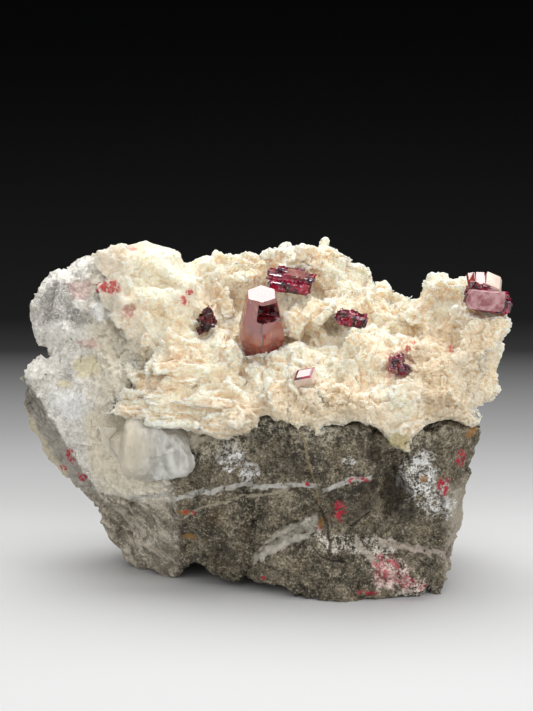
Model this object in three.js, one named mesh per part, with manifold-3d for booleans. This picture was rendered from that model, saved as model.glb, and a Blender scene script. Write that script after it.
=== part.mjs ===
// Cinnabar crystals on a dolomite crust, grown over a broken piece of grey host rock.
// Millimetres, +Z up, +X to the right and +Y away from the viewer of the display side.
// The origin is on the surface that the specimen rests on, under the middle of it.

import * as THREE from 'three';
import { ConvexGeometry } from 'three/addons/geometries/ConvexGeometry.js';
import { ImprovedNoise } from 'three/addons/math/ImprovedNoise.js';
import { TessellateModifier } from 'three/addons/modifiers/TessellateModifier.js';
import { mergeVertices } from 'three/addons/utils/BufferGeometryUtils.js';
import Module from 'manifold-3d';

// Driving dimensions.
const GAP = 0.3; // between minerals that touch
const BREAK_EDGE = 6.6; // longest edge on the broken rock
const BREAK_DEPTH = 1.0; // how far the break wanders from flat
const BREAK_WAVE = 5.5; // length of that wandering
const LUMP_DETAIL = 1; // how finely a lump's ball is divided
const LUMP_DEPTH = 2.2; // how far a lump wanders from round
const LUMP_WAVE = 3.3;
const LUMP_INSIDE = 0.95; // share of a lump's half sizes within which a plate would be buried
const PLATES = 78; // dolomite plates that stand out of the crust
const PLATE_LONG = [3.0, 5.0];
const PLATE_THICK = [1.0, 1.6];
const PLATE_LEAN = [25, 75]; // degrees from lying flat on the crust
const PLATE_SLANT = 0.27; // how far a rhomb leans, as a share of its length
const CORNER_GROWTH = 1.5; // how much further a corner moves than the faces that meet in it
const CRYSTAL_ROOM = 4.4; // from the middle of a cinnabar crystal to the nearest plate's
const FLOOR_CUT = 60; // height of the block that trims the feet flat

const wasm = await Module();
wasm.setup();

// A closed geometry as a solid for joining and cutting.
function solidOf(geometry) {
  const bare = new THREE.BufferGeometry();
  bare.setAttribute('position', geometry.getAttribute('position').clone());
  if (geometry.index) bare.setIndex(geometry.index.clone());
  const merged = mergeVertices(bare, 1e-4);
  return new wasm.Manifold(new wasm.Mesh({
    numProp: 3,
    vertProperties: merged.getAttribute('position').array,
    triVerts: new Uint32Array(merged.index.array),
  }));
}

function geometryOf(solid) {
  const { vertProperties, triVerts } = solid.getMesh();
  const geometry = new THREE.BufferGeometry();
  geometry.setAttribute('position', new THREE.BufferAttribute(vertProperties, 3));
  geometry.setIndex(new THREE.BufferAttribute(triVerts, 1));
  geometry.computeVertexNormals();
  return geometry;
}

const joined = (solids) => solids.reduce((all, next) => all.add(next));
const largest = (solid) => solid.decompose().sort((a, b) => b.volume() - a.volume())[0];

// The same numbers in the same order on every run.
function seededRandom(seed) {
  let state = seed;
  return () => {
    state = (Math.imul(state, 1664525) + 1013904223) >>> 0;
    return state / 4294967296;
  };
}

// Moves each vertex by a smooth three-way noise of its place, and out along its normal by grow.
const noise = new ImprovedNoise();
function roughened(geometry, depth, wave, grow) {
  const bare = new THREE.BufferGeometry();
  bare.setAttribute('position', geometry.getAttribute('position').clone());
  if (geometry.index) bare.setIndex(geometry.index.clone());
  const merged = mergeVertices(bare, 1e-3);
  merged.computeVertexNormals();
  const place = merged.getAttribute('position');
  const normal = merged.getAttribute('normal');
  const p = new THREE.Vector3();
  for (let i = 0; i < place.count; i++) {
    p.fromBufferAttribute(place, i);
    const [x, y, z] = [p.x / wave, p.y / wave, p.z / wave];
    const across = noise.noise(x, y, z);
    const inward = noise.noise(y + 31, z, x);
    const upward = noise.noise(z, x + 57, y);
    const shift = new THREE.Vector3(across, inward, upward);
    shift.multiplyScalar(depth).addScaledVector(new THREE.Vector3().fromBufferAttribute(normal, i), grow);
    p.add(shift);
    place.setXYZ(i, p.x, p.y, p.z);
  }
  return merged;
}

// A lump broken along flat faces: the hull of its corners, roughened.
function brokenBlock(corners, grow = 0) {
  const hull = new ConvexGeometry(corners.map((c) => new THREE.Vector3(...c)));
  const fine = new TessellateModifier(BREAK_EDGE, 12).modify(hull);
  return solidOf(roughened(fine, BREAK_DEPTH, BREAK_WAVE, grow));
}

// Host rock: the blocks that the piece broke into, each by its corners.
const ROCK_BLOCKS = {
  core: [
    [-23, -5, 19], [-9, -11, 20], [0, -12.5, 24], [10, -13.5, 23.5], [18, -14.5, 21.5], [26, -12.5, 23.5],
    [29.6, -8.5, 23], [-12, -9, 4], [-4, -10.5, 3], [4, -12, 3], [16, -14.2, 2], [23.5, -13.5, 2],
    [24.8, -9.5, 1], [26.5, -8, 6], [27.9, -8, 12], [-14, 12, 3], [20, 12, 3], [-27, 10, 20], [28, 10, 22],
    [-22, 14, 36], [-4, 17, 39], [14, 16, 37], [26, 10, 33],
  ],
  upperWing: [
    [-33.5, 3.5, 37.5], [-31.5, 4.5, 40.5], [-28, 5, 42], [-21, 4, 43], [-14, 3, 41], [-31, 1.5, 29],
    [-24, -3.8, 25], [-15, -5, 29], [-31, 12, 33], [-24, 15, 40], [-14, 15, 30],
  ],
  lowerWing: [
    [-34, 0.5, 28.5], [-32.2, 1, 30.6], [-35.2, 2, 23.5], [-30, 0.5, 15.5], [-22, -6, 19], [-20, -6.5, 29],
    [-28, -0.5, 12], [-24, -3, 9], [-31, 11, 22], [-20, 13, 12], [-18, 12, 30], [-26, 1, 34], [-12, -8, 14],
  ],
  leftFoot: [
    [-26.4, 0, 12], [-23.4, 0.5, 6], [-20.6, 0, 3], [-19, -1, -0.8], [-14.2, -4, -0.8], [-11.5, -8.8, 3.2],
    [-12, -10.2, 16], [-23, -5, 18], [-22, 8, 8], [-17, 8, -0.8], [-10, 6, 3], [-10, 8, 16],
  ],
  middleWedge: [
    [-12.4, -10.6, 14.6], [2, -13.6, 15.5], [6, -13, 12], [-1.5, -12.4, 4.2], [-4.9, -11, 1.4],
    [-9.4, -9.6, 3], [-11.8, -9, 5], [-10, 6, 5], [4, 6, 3],
  ],
  rightFoot: [
    [-1.8, -12.6, 4.4], [7.5, -14.6, 10.6], [16.5, -15.8, 8.4], [23, -14.8, 6.5], [24.2, -13.5, -0.8],
    [19, -16, -0.8], [9, -17.8, -0.8], [4.4, -16.4, -0.5], [-0.8, -12.6, 2.8], [2, -4, 0.5], [22, -2, -0.8],
    [12, 4, 0.5], [20, 4, 6],
  ],
  backKeel: [
    [-4, 11, -0.8], [9, 10, -0.8], [12, 14, -0.6], [0, 15.5, -0.8], [-12, 13, 7], [18, 14, 7], [2, 17, 12],
    [-8, 4, 8], [14, 4, 8],
  ],
};
// The dark recess in the front, cut out of them.
const ROCK_HOLLOW = [
  [14.6, -18, 20.5], [19, -18, 23], [22.4, -18, 17], [20.6, -18, 11], [13.6, -18, 9.6],
  [16, -11.6, 19.4], [19, -12, 20.4], [19.4, -11.8, 13.5], [15.6, -11.6, 12],
];

function rockSolid(grow) {
  const blocks = Object.values(ROCK_BLOCKS).map((corners) => brokenBlock(corners, grow));
  return joined(blocks).subtract(brokenBlock(ROCK_HOLLOW));
}

// The feet end on the resting plane.
function aboveFloor(solid) {
  const below = new THREE.BoxGeometry(3 * FLOOR_CUT, 3 * FLOOR_CUT, FLOOR_CUT);
  return solid.subtract(solidOf(below.translate(0, 0, -FLOOR_CUT / 2)));
}

// A rounded lump: centre, half sizes.
function lump([x, y, z], [rx, ry, rz], grow = 0) {
  const ball = new THREE.IcosahedronGeometry(1, LUMP_DETAIL);
  ball.scale(rx, ry, rz).translate(x, y, z);
  return solidOf(roughened(ball, LUMP_DEPTH, LUMP_WAVE, grow));
}

// Dolomite crust: the lumps that the crystals grew into, each by its middle and half sizes.
const CRUST_LUMPS = [
  [[-17.5, 7, 39], [7.5, 7, 6.8]],
  [[-18.6, 2, 33.6], [7, 7, 7.5]],
  [[-12, 3.5, 34.5], [7, 7, 7]],
  [[-8.5, 8, 39.8], [4, 4.5, 4.4]],
  [[-2.5, 10, 38.5], [6, 5.5, 6]],
  [[3.8, 9.5, 39.8], [5.5, 5, 5.6]],
  [[9, 9, 39.8], [5, 5, 5.2]],
  [[13, 8, 36.5], [5, 6, 5]],
  [[19, 6, 35], [6, 6, 5]],
  [[25, 3, 36], [5, 5, 5.5]],
  [[28.8, -1, 33], [4.5, 5, 5.5]],
  [[27.6, -4, 28.5], [4.5, 6, 6]],
  [[22, -5, 29.5], [6, 7, 6]],
  [[14.5, -3, 30.3], [7.5, 7, 6]],
  [[0, 3.5, 32.5], [8, 6, 6]],
  [[9, 4, 33.5], [7, 6, 6]],
  [[3.5, -4.5, 28], [8, 7, 6]],
  [[-10, -3, 30], [8, 6.5, 6]],
  [[-14, -5.5, 26], [10, 5.5, 4]],
  [[-4, -8.5, 24.8], [8, 5.5, 4.6]],
  [[5, -10, 25.5], [7, 5, 4.4]],
  [[13, -10.5, 25.5], [6.5, 5, 4.4]],
  [[18.5, -11, 24.4], [5, 5, 5]],
  [[24, -9, 26.5], [5.5, 5, 4.5]],
  [[30, -3.6, 36], [3.8, 3.8, 4]],
];

// A flat rhomb, lying across z.
function rhomb(wide, long, thick) {
  const box = new THREE.BoxGeometry(wide, long, thick);
  const lean = new THREE.Matrix4().makeShear(0, 0, PLATE_SLANT, 0, 0, 0);
  return box.applyMatrix4(lean);
}

// Whether a place on one lump lies inside another, or in front of a cinnabar crystal.
function taken(place, own) {
  const within = ([middle, half]) =>
    place.clone().sub(new THREE.Vector3(...middle)).divide(new THREE.Vector3(...half)).length() < LUMP_INSIDE;
  return CRUST_LUMPS.some((other, i) => i !== own && within(other))
    || crystals.some((crystal) => crystal.position.distanceTo(place) < CRYSTAL_ROOM);
}

// Plates that stand half on edge all over the lumps, more of them up and to the front.
function plates() {
  const random = seededRandom(7);
  const between = ([low, high]) => low + (high - low) * random();
  const anyWay = () => new THREE.Vector3(between([-1, 1]), between([-1, 1]), between([-1, 1]));
  const made = [];
  while (made.length < PLATES) {
    const own = Math.floor(random() * CRUST_LUMPS.length);
    const [middle, half] = CRUST_LUMPS[own];
    const out = new THREE.Vector3(between([-1, 1]), between([-1, 0.8]), between([-0.5, 1])).normalize();
    const place = out.clone().multiply(new THREE.Vector3(...half)).add(new THREE.Vector3(...middle));
    if (taken(place, own)) continue;
    const long = between(PLATE_LONG);
    const plate = rhomb(long * between([0.65, 1]), long, between(PLATE_THICK)).rotateZ(between([0, Math.PI]));
    const lean = THREE.MathUtils.degToRad(between(PLATE_LEAN));
    const side = anyWay().cross(out).normalize();
    const facing = out.multiplyScalar(Math.cos(lean)).addScaledVector(side, Math.sin(lean));
    plate.applyQuaternion(new THREE.Quaternion().setFromUnitVectors(new THREE.Vector3(0, 0, 1), facing));
    made.push(solidOf(plate.translate(place.x, place.y, place.z)));
  }
  return joined(made);
}

// Materials.
const finish = (color, roughness) => new THREE.MeshStandardMaterial({ color, roughness, metalness: 0 });
const rockFinish = finish(0x6b6457, 0.9);
const dolomiteFinish = finish(0xe2d3b4, 0.6);
const quartzFinish = finish(0xc9c4b6, 0.3);
const cinnabarFinish = finish(0x7a1422, 0.15);

const specimen = new THREE.Group();
const crystals = [];
const pockets = [];

function add(name, geometry, material) {
  const mesh = new THREE.Mesh(geometry, material);
  mesh.name = name;
  specimen.add(mesh);
  return mesh;
}

// A crystal set in the crust: build(grow) makes it about its own middle, and the grown one cuts its pocket.
function setCrystal(name, at, turn, build) {
  const mesh = add(name, geometryOf(build(0)), cinnabarFinish);
  mesh.position.set(...at);
  mesh.rotation.set(...turn.map(THREE.MathUtils.degToRad));
  mesh.updateMatrix();
  crystals.push(mesh);
  pockets.push(solidOf(geometryOf(build(GAP)).applyMatrix4(mesh.matrix)));
}

// A six-sided barrel from radii up its height.
function barrel(rings, grow) {
  const last = rings.length - 1;
  const end = (i) => (i === 0 ? -1 : i === last ? 1 : 0);
  const profile = rings.map(([r, z], i) => new THREE.Vector2(r + grow, z + grow * end(i)));
  profile.unshift(new THREE.Vector2(0, profile[0].y));
  profile.push(new THREE.Vector2(0, profile.at(-1).y));
  return solidOf(new THREE.LatheGeometry(profile, 6).rotateX(Math.PI / 2));
}

// A rhomb-shaped small crystal: middle, size, turn about z in degrees.
function grain([x, y, z], [a, b, c], turnZ, grow) {
  const box = rhomb(a + 2 * grow, b + 2 * grow, c + 2 * grow);
  return solidOf(box.rotateZ(THREE.MathUtils.degToRad(turnZ)).translate(x, y, z));
}

const cluster = (grains) => (grow) => joined(grains.map(([at, size, turn]) => grain(at, size, turn, grow)));

// A crystal bounded by flat faces: the hull of its corners, with grow added outwards from its middle.
function facetted(corners, grow) {
  const points = corners.map((c) => new THREE.Vector3(...c));
  points.forEach((point) => point.setLength(point.length() + CORNER_GROWTH * grow));
  return solidOf(new ConvexGeometry(points));
}

function mainCrystal(grow) {
  const body = barrel([[2.0, -4.6], [3.2, -1.9], [3.35, 1.0], [2.1, 4.3]], grow);
  if (grow > 0) return body;
  const notch = new THREE.BoxGeometry(3.4, 3, 2.3).rotateY(-0.12).translate(2.2, -2.7, 2.1);
  return body.subtract(solidOf(notch));
}

// A thick tablet with bevelled ends and a lower, roofed part on its top.
const edgeCrystal = (grow) => joined([
  facetted([
    [-3.5, -2.0, 0.9], [3.3, -2.1, 0.3], [3.9, -0.6, -0.3], [3.2, 2.2, 0.6], [-2.9, 2.3, 1.0],
    [-3.7, -1.4, -0.7], [-2.0, -1.7, -1.7], [2.8, -1.9, -1.9], [3.7, -0.4, -1.8], [2.4, 1.8, -1.7],
    [-2.6, 1.8, -1.4],
  ], grow),
  facetted([
    [-3.1, -1.2, 0.2], [2.3, -1.5, 0.2], [2.1, 1.9, 0.2], [-3.0, 1.9, 0.2],
    [-2.9, -0.6, 2.3], [-1.9, -0.9, 2.5], [0.2, -0.7, 2.2], [0.6, 1.2, 2.1], [-2.6, 1.4, 2.4],
    [1.6, -0.2, 1.0],
  ], grow),
]);

setCrystal('cinnabar_main', [-0.8, -3.2, 37.2], [24, 2, -12], mainCrystal);
setCrystal('cinnabar_tabular', [3.4, 1.5, 41.8], [8, 9, 0], cluster([
  [[0, 0.4, 0.5], [6.8, 2.6, 1.5], 0],
  [[-0.1, -0.5, -0.6], [6.2, 2.2, 1.9], 0],
  [[0.9, -0.9, -0.4], [2.6, 2.2, 1.6], 0],
  [[-0.2, 0.9, 1.3], [4.2, 1.8, 0.9], 2],
]));
setCrystal('cinnabar_left', [-8.4, -3.2, 37.0], [10, -20, 0], cluster([
  [[0, 0, 0], [2.4, 2.2, 2.6], 10],
  [[0.5, 0.2, 1.0], [1.5, 1.6, 1.8], 30],
  [[-0.6, -0.3, -0.8], [2.0, 1.8, 1.4], -12],
]));
setCrystal('cinnabar_right', [12.1, -1.6, 37.0], [12, 16, 0], cluster([
  [[0, 0, 0], [4.2, 2.2, 2.2], 4],
  [[1.2, -0.3, 0.2], [2.2, 2.2, 2.0], 25],
  [[-1.5, -0.2, 0.2], [1.4, 1.8, 1.7], -20],
]));
setCrystal('cinnabar_low_right', [18.2, -9.6, 32.3], [10, -10, 0], cluster([
  [[0, 0, 0.2], [2.4, 1.8, 2.2], 8],
  [[0.5, -0.3, -0.9], [1.6, 1.6, 1.6], -20],
  [[-0.5, -0.2, 0.9], [1.4, 1.4, 1.2], 30],
]));
setCrystal('cinnabar_small', [5.4, -10.6, 30.6], [30, -14, 0], cluster([[[0, 0, 0], [2.5, 2.0, 1.3], 0]]));
setCrystal('cinnabar_edge', [31.0, -4.2, 40.6], [4, 6, 0], edgeCrystal);

// Milky quartz: a blunt cone that leans on a lower lump.
const quartzLump = (grow) => joined([
  lump([-15.5, -8.2, 19.8], [6.6, 4.2, 4.6], grow),
  lump([-20, -5.6, 20.4], [4.2, 3.2, 4.4], grow),
]);
const withoutCrystals = (solid) => pockets.reduce((rest, pocket) => rest.subtract(pocket), solid);
const quartz = quartzLump(0).subtract(rockSolid(GAP));
const crust = joined([...CRUST_LUMPS.map(([middle, half]) => lump(middle, half)), plates()])
  .subtract(quartzLump(GAP))
  .subtract(rockSolid(GAP));
add('milky_quartz', geometryOf(largest(quartz)), quartzFinish);
add('dolomite_crust', geometryOf(largest(withoutCrystals(crust))), dolomiteFinish);
add('host_rock', geometryOf(largest(aboveFloor(withoutCrystals(rockSolid(0))))), rockFinish);

const box = new THREE.Box3().setFromObject(specimen);
specimen.position.set(-(box.min.x + box.max.x) / 2, -(box.min.y + box.max.y) / 2, 0);
specimen.updateMatrixWorld();

export default specimen;
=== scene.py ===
import math
from contextlib import contextmanager

import bpy
from mathutils import Euler, Matrix, Vector


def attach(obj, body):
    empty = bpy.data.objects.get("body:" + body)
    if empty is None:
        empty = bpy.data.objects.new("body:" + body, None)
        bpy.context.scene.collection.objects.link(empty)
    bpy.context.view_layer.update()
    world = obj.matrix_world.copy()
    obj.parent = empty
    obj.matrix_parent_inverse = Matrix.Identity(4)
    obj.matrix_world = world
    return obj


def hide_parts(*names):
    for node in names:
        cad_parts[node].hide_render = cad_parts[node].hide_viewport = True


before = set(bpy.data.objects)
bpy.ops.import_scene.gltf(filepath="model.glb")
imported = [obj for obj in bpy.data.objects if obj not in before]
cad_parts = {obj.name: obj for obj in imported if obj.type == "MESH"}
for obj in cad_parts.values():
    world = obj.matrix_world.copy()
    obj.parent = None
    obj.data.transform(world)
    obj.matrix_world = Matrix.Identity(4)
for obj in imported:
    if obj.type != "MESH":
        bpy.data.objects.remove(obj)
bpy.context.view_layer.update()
MM = 0.001


# Camera: it stands in front of the display side and looks a little down on it, from far enough away
# that the sides of the piece hardly draw together.
LOOKED_AT = Vector((0, 0, 31.3 * MM))
CAMERA_DISTANCE = 420 * MM
CAMERA_RAISED = math.radians(13)
SENSOR_SIDE = 36  # mm, along the longer side of the picture
FOCAL_LENGTH = 148.9  # mm, seven pixels to a millimetre at the specimen

camera_offset = Vector((0, -math.cos(CAMERA_RAISED), math.sin(CAMERA_RAISED))) * CAMERA_DISTANCE
bpy.ops.object.camera_add(location=LOOKED_AT + camera_offset, rotation=(math.pi / 2 - CAMERA_RAISED, 0, 0))
camera = bpy.context.object
camera.data.lens = FOCAL_LENGTH
camera.data.sensor_width = SENSOR_SIDE
camera.data.clip_start = 10 * MM
bpy.context.scene.camera = camera


# Host rock: one piece of grey-brown dolostone, broken along rough flat chips, with ledges, a thin quartz vein
# that a small fault has shifted, pale seams, rust and red cinnabar stains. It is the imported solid's own form,
# cut finer: big chips, small chips on them, then grain.
ROCK_VOXEL = 0.42 * MM
# width in mm, slope and greatest height in mm of each size of chip
ROCK_CHIPS = ((7.0, 0.4, 0.8), (2.4, 0.4, 0.3), (1.0, 0.3, 0.1))
ROCK_GRAIN = (0.6, 0.07)  # width and height, in mm
ROCK_POINT = 0.5 * MM  # a point that stands out farther is smoothed
ROCK_CREASE = math.radians(24)  # edges sharper than this show
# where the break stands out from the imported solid, or, below nought, in: middle, half sizes, height, in mm
ROCK_FULLER = (
    ((-32, 5, 41), (11, 16, 10), 1.1),
    ((-24, 2, 40), (5, 14, 9), 0.9),
    ((-20.5, -7, 7), (4.5, 9, 5.5), -1.2),
)
# ledges, each below a line traced in mm right of and above the middle of the view: how far it stands out
# and reaches down, in mm
ROCK_LEDGES = (
    (((-2.2, -30.4), (1.0, -27.4), (4.8, -25.6), (8.0, -25.2)), 1.1, 7),
    (((12.0, -27.0), (16.0, -28.0), (21.0, -28.6), (26.0, -29.2)), 0.8, 5),
    (((-14.4, -22.2), (-9.5, -21.0), (-5.2, -20.2), (4.0, -19.2)), 0.4, 4),
    (((9.0, -22.6), (12.2, -22.0), (16.0, -20.4), (22.0, -20.6)), 0.7, 4),
)
LEDGE_BRINK = 0.45  # mm, half the width over which a ledge rises
CURVE_MARGIN = 1  # mm, above and below a traced line
SPOT_DEPTH = 1.6  # times its larger half size, so that it goes through the relief


class Socket:
    """An output of a node. Arithmetic with it adds Math nodes to its tree."""

    def __init__(self, graph, output):
        self.graph = graph
        self.output = output

    def math(self, operation, *others):
        return self.graph.node("ShaderNodeMath", {"operation": operation}, dict(enumerate((self, *others))))

    def most(self, other):
        return self.math("MAXIMUM", other)

    def __add__(self, other):
        return self.math("ADD", other)

    def __sub__(self, other):
        return self.math("SUBTRACT", other)

    def __rsub__(self, other):
        return self * -1 + other

    def __mul__(self, other):
        return self.math("MULTIPLY", other)

    def __truediv__(self, other):
        return self.math("DIVIDE", other)

    __radd__ = __add__
    __rmul__ = __mul__


class Graph:
    """A tree of shader or geometry nodes, written as calls and expressions. Its place is in metres, as the
    nodes give it, and every other length is in mm."""

    def __init__(self, tree, places, output=0):
        self.tree = tree
        self.place = self.node(places, output=output)

    def feed(self, value, target):
        if isinstance(value, Socket):
            self.tree.links.new(value.output, target)
        else:
            target.default_value = value

    def node(self, kind, settings=None, inputs=None, output=0):
        """Adds a node with its settings and its inputs, by name or number. Gives the named output."""
        made = self.tree.nodes.new(kind)
        for name, value in (settings or {}).items():
            if name == "stops":
                while len(made.color_ramp.elements) < len(value):
                    made.color_ramp.elements.new(1.0)
                for stop, (position, color) in zip(made.color_ramp.elements, value):
                    stop.position = position
                    stop.color = color
            elif name == "points":
                curve = made.mapping.curves[0]
                while len(curve.points) < len(value):
                    curve.points.new(0.5, 0.5)
                for point, (along, up) in zip(curve.points, value):
                    point.location = (along, up)
                made.mapping.update()
            else:
                setattr(made, name, value)
        for name, value in (inputs or {}).items():
            self.feed(value, made.inputs[name])
        return Socket(self, made.outputs[output])

    def vector(self, operation, *values, output=0, **named):
        inputs = {**dict(enumerate(values)), **named}
        return self.node("ShaderNodeVectorMath", {"operation": operation}, inputs, output)

    def noise(self, size, detail=2.0, rough=0.5, output="Fac", offset=(0, 0, 0), place=None):
        """Soft noise whose features are about size across. An offset, in metres, gives another one."""
        moved = self.vector("ADD", place or self.place, offset)
        inputs = {"Vector": moved, "Scale": 1 / (size * MM), "Detail": detail, "Roughness": rough}
        return self.node("ShaderNodeTexNoise", {}, inputs, output)

    def fade(self, value, low, high):
        """0 at low, 1 at high, smooth between; high may be the lower number."""
        inputs = {"Value": value, "From Min": low, "From Max": high}
        return self.node("ShaderNodeMapRange", {"interpolation_type": "SMOOTHSTEP"}, inputs)

    def parts(self):
        """The x, y and z of the place."""
        split = self.node("ShaderNodeSeparateXYZ", {}, {0: self.place}).output.node
        return [Socket(self, output) / MM for output in split.outputs]

    def chips(self, width, slope, limit, lean=(0, 0, 0), place=None):
        """The height of flat chips at random slants, each cell of space on a plane of its own."""
        place = place or self.place
        wander = self.noise(width * 0.6, output="Color", place=place)
        warped = self.vector("ADD", place, self.vector("SCALE", wander, Scale=width * 0.5 * MM))
        inputs = {"Vector": warped, "Scale": 1 / (width * MM)}
        cell = self.node("ShaderNodeTexVoronoi", {}, inputs, "Position")
        turned = self.node("ShaderNodeTexWhiteNoise", {}, {"Vector": cell}, "Color")
        slant = self.vector("SUBTRACT", turned, tuple(0.5 - c for c in lean))
        away = self.vector("SUBTRACT", warped, cell)
        lift = self.vector("DOT_PRODUCT", away, slant, output="Value") * (slope / MM)
        return lift.math("MINIMUM", limit).most(-limit)

    def beside(self, traced):
        """How far a place is above a traced line, or right of it where the line is taller than wide, and how
        far along it, from 0 to 1. The line stands for a sheet that goes straight through the piece."""
        x, y, z = self.parts()
        line = [(p.x, p.z) for p in traced]
        if abs(line[-1][1] - line[0][1]) > abs(line[-1][0] - line[0][0]):
            x, z = z, x
            line = [(c, a) for a, c in line]
        line.sort()
        start = line[0][0]
        length = line[-1][0] - start
        low = min(c for a, c in line) - CURVE_MARGIN
        tall = max(c for a, c in line) + CURVE_MARGIN - low
        points = [((a - start) / length, (c - low) / tall) for a, c in line]
        share = (x - start) / length
        curve = self.node("ShaderNodeFloatCurve", {"points": points}, {"Value": share})
        return z - curve * tall - low, share

    def spot(self, at, half, wobble=0.0):
        """1 in the middle of an ellipsoid, given by its middle and half sizes, and 0 outside. The wobble, a
        share of its size, moves its edge."""
        away = self.vector("SUBTRACT", self.place, tuple(c * MM for c in at))
        scaled = self.vector("DIVIDE", away, tuple(c * MM for c in half))
        return self.fade(self.vector("LENGTH", scaled, output="Value") + wobble, 1.0, 0.6)


class Form(Graph):
    """Geometry nodes that move the surface of a piece."""

    def __init__(self, name):
        tree = bpy.data.node_groups.new(name, "GeometryNodeTree")
        for way in ("INPUT", "OUTPUT"):
            tree.interface.new_socket("Geometry", in_out=way, socket_type="NodeSocketGeometry")
        super().__init__(tree, "GeometryNodeInputPosition")
        self.normal = self.node("GeometryNodeInputNormal")
        self.shape = self.node("NodeGroupInput")

    def step(self, kind, settings, **inputs):
        self.shape = self.node(kind, settings, {"Geometry": self.shape, **inputs})

    def move(self, height, offset=(0, 0, 0)):
        """Moves the surface out by a height, and by an offset as well."""
        way = self.vector("ADD", self.vector("SCALE", self.normal, Scale=height), offset)
        self.step("GeometryNodeSetPosition", {}, Offset=self.vector("SCALE", way, Scale=MM))

    def keep_rim(self, reach, depth):
        """Keeps how far a place stands out from what is round it, in depths, as the value rim."""
        inputs = {"Value": self.place, "Iterations": reach}
        around = self.node("GeometryNodeBlurAttribute", {"data_type": "FLOAT_VECTOR"}, inputs)
        away = self.vector("SUBTRACT", self.place, around)
        rim = self.vector("DOT_PRODUCT", away, self.normal, output="Value") / (depth * MM)
        kind = {"data_type": "FLOAT", "domain": "POINT"}
        self.step("GeometryNodeStoreNamedAttribute", kind, Name="rim", Value=rim)

    def made(self):
        self.feed(self.shape, self.tree.nodes.new("NodeGroupOutput").inputs[0])
        return self.tree


class Finish(Graph):
    """A material whose Principled shader takes a body colour painted on step by step."""

    def __init__(self, name, **constants):
        self.material = bpy.data.materials.new(name)
        self.material.use_nodes = True
        super().__init__(self.material.node_tree, "ShaderNodeTexCoord", "Object")
        self.set(**constants)

    def set(self, **inputs):
        for socket, value in inputs.items():
            self.feed(value, self.tree.nodes["Principled BSDF"].inputs[socket.replace("_", " ")])

    def mix(self, low, high, mask):
        """One colour turning to the other with the mask."""
        return self.node("ShaderNodeMix", {"data_type": "RGBA"}, {"Factor": mask, 6: low, 7: high}, output=2)

    def paint(self, color, mask):
        self.body = self.mix(self.body, color, mask)

    def paint_spots(self, piece, wobble, *stains):
        """Paints spots: a colour, a strength, and marks, each mm right and up as seen and its half sizes."""
        for color, strength, marks in stains:
            for right, up, wide, high in marks:
                half = (wide, max(wide, high) * SPOT_DEPTH, high)
                self.paint(color, self.spot(seen(piece, right, up) / MM, half, wobble) * strength)

    def rim(self):
        return self.node("ShaderNodeAttribute", {"attribute_name": "rim"}, output="Fac")

    def bump(self, height, strength=1.0):
        return self.node("ShaderNodeBump", {}, {"Height": height, "Distance": MM, "Strength": strength})

    def seam(self, traced, half, wobble):
        """A thin band along a traced line, as a mask: a sheet of another mineral seen edge on, a crack, a
        painted highlight.
        """
        away, share = self.beside(traced)
        inside = self.fade(share, -0.02, 0.03) * self.fade(share, 1.02, 0.97)
        swelling = (self.noise(1.2, detail=3) - 0.5) * half
        return self.fade((away + wobble).math("ABSOLUTE") + swelling, half, half * 0.5) * inside


def rgb(red, green, blue):
    """A colour given as on a screen, from 0 to 255, in the light values that shaders take."""
    shown = [c / 255 for c in (red, green, blue)]
    light = [c / 12.92 if c < 0.039 else ((c + 0.055) / 1.055) ** 2.4 for c in shown]
    return (*light, 1)


def select_only(piece):
    bpy.ops.object.select_all(action="DESELECT")
    piece.select_set(True)
    bpy.context.view_layer.objects.active = piece


@contextmanager
def edit_mode(piece, choice=None):
    """Edit mode on one piece, with all or none of it selected where a choice is given."""
    select_only(piece)
    bpy.ops.object.mode_set(mode="EDIT")
    if choice:
        bpy.ops.mesh.select_all(action=choice)
    yield
    bpy.ops.object.mode_set(mode="OBJECT")


def copied(node, name):
    """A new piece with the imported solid's form, its loose triangles merged."""
    piece = bpy.data.objects.new(name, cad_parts[node].data.copy())
    bpy.context.scene.collection.objects.link(piece)
    piece.data.materials.clear()
    with edit_mode(piece, "SELECT"):
        bpy.ops.mesh.remove_doubles(threshold=0.01 * MM)
    return piece


def modify(piece, kind, **settings):
    """Adds a modifier with its settings and applies it."""
    select_only(piece)
    modifier = piece.modifiers.new(kind, kind)
    for name, value in settings.items():
        setattr(modifier, name, value)
    bpy.ops.object.modifier_apply(modifier=modifier.name)


def put(piece, at, turned=(0, 0, 0), size=(1, 1, 1)):
    """Scales a piece, turns it by angles in degrees and puts it at its place."""
    turn = Euler([math.radians(c) for c in turned])
    piece.data.transform(Matrix.LocRotScale(Vector(at), turn, Vector(size)))


def seen(piece, right, up):
    """The point of a piece that shows this many mm right of and above the middle of the camera's view."""
    eye = LOOKED_AT + camera_offset
    aim = LOOKED_AT + Vector((right, up * math.sin(CAMERA_RAISED), up * math.cos(CAMERA_RAISED))) * MM
    hit, place, normal, face = piece.ray_cast(eye, aim - eye)
    return place if hit else aim


def traced_on(piece, line):
    """A line traced as seen, as points of a piece in mm."""
    return [seen(piece, *place) / MM for place in line]


def broken_surface(chips, grain):
    """The surface broken into flat chips at random slants, in several sizes, with grain over them. Nothing
    goes below the level that the piece rests on."""
    form = Form("broken_surface")
    height = 0.0
    for width, slope, limit in chips:
        height = form.chips(width, slope, limit) + height
    form.move(height + (form.noise(grain[0], detail=3) - 0.5) * (2 * grain[1]))
    x, y, z = form.parts()
    above = form.node("ShaderNodeCombineXYZ", {}, {0: x, 1: y, 2: z.most(0.0)})
    form.step("GeometryNodeSetPosition", {}, Position=form.vector("SCALE", above, Scale=MM))
    return form.made()


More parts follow.
